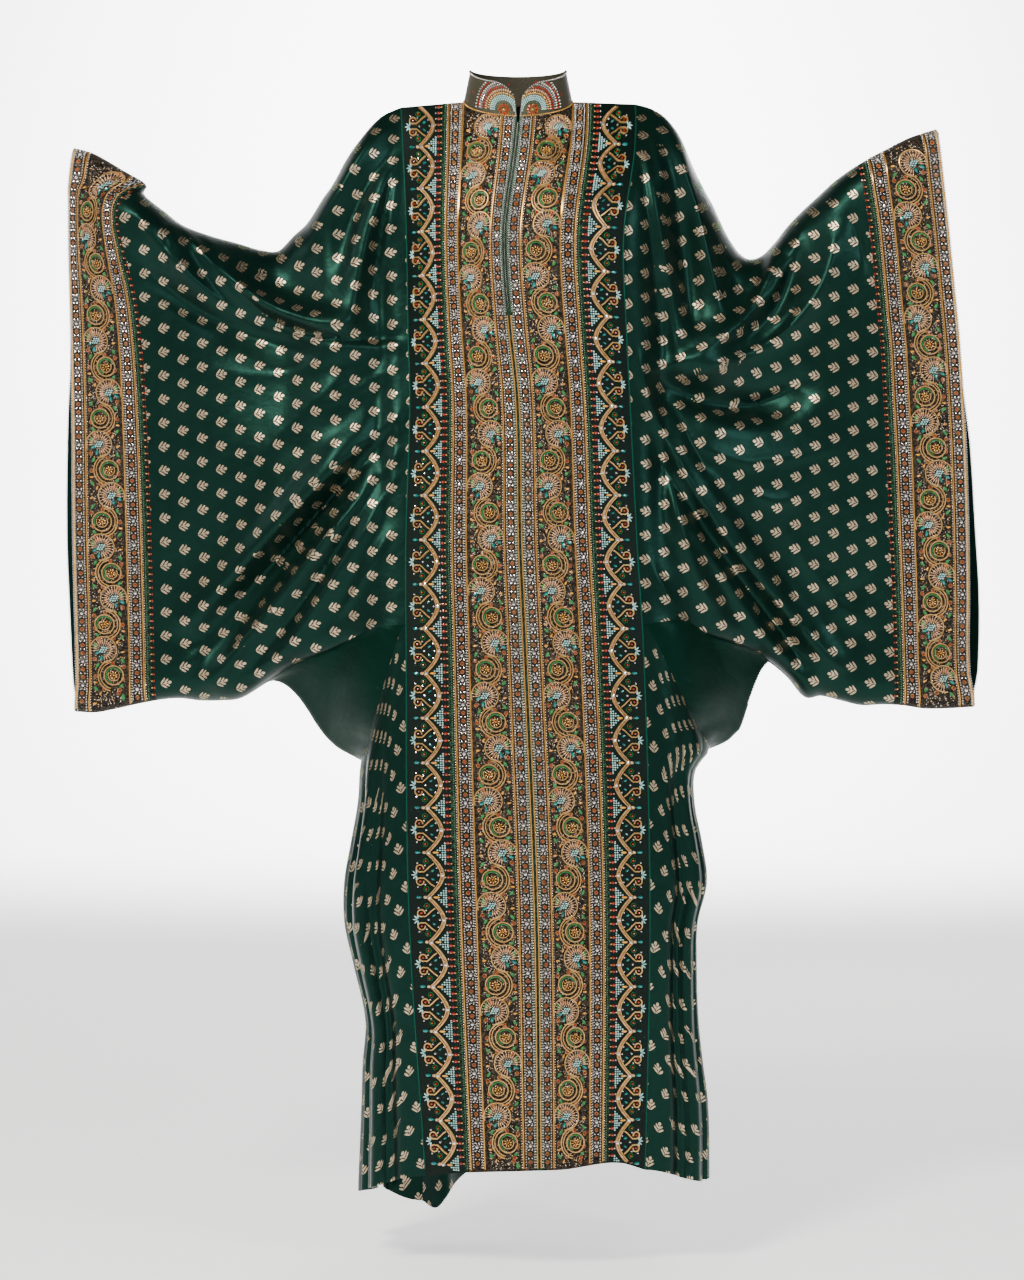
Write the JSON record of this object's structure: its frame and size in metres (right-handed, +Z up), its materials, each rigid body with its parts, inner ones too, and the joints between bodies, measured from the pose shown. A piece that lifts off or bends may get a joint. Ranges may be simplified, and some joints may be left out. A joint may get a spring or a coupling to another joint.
{
  "type": "thobe",
  "caption": "Deep-sleeved green silk thobe, worn with both arms held out, with an embroidered front strip, cuffs and stand collar",
  "frame": {"origin": "middle of the neck opening, at the height where the robe rests on the wearer's shoulders", "axes": "+Z up, the robe's front faces -Y, the wearer's right side is at -X; metres"},
  "size_m": [1.1829, 0.3637, 1.4999],
  "materials": {
    "silk": "satin",
    "satin": "satin",
    "velvet": "matte",
    "embroidery": "satin",
    "border": "satin",
    "brocade": "satin"
  },
  "bodies": {
    "root": {"front_panel": "embroidery", "back_panel": "silk", "collar": "brocade", "zip_tape": "velvet", "sleeve_front_right": "silk", "sleeve_back_right": "silk", "sleeve_front_left": "silk", "sleeve_back_left": "silk", "side_gore_right": "silk", "side_gore_left": "silk", "gusset_right": "satin", "gusset_left": "satin", "cuff_band_right": "embroidery", "cuff_band_left": "embroidery", "cuff_facing_right": "velvet", "cuff_facing_left": "velvet", "scallop_border_right": "border", "scallop_border_left": "border"}
  },
  "joints": []
}
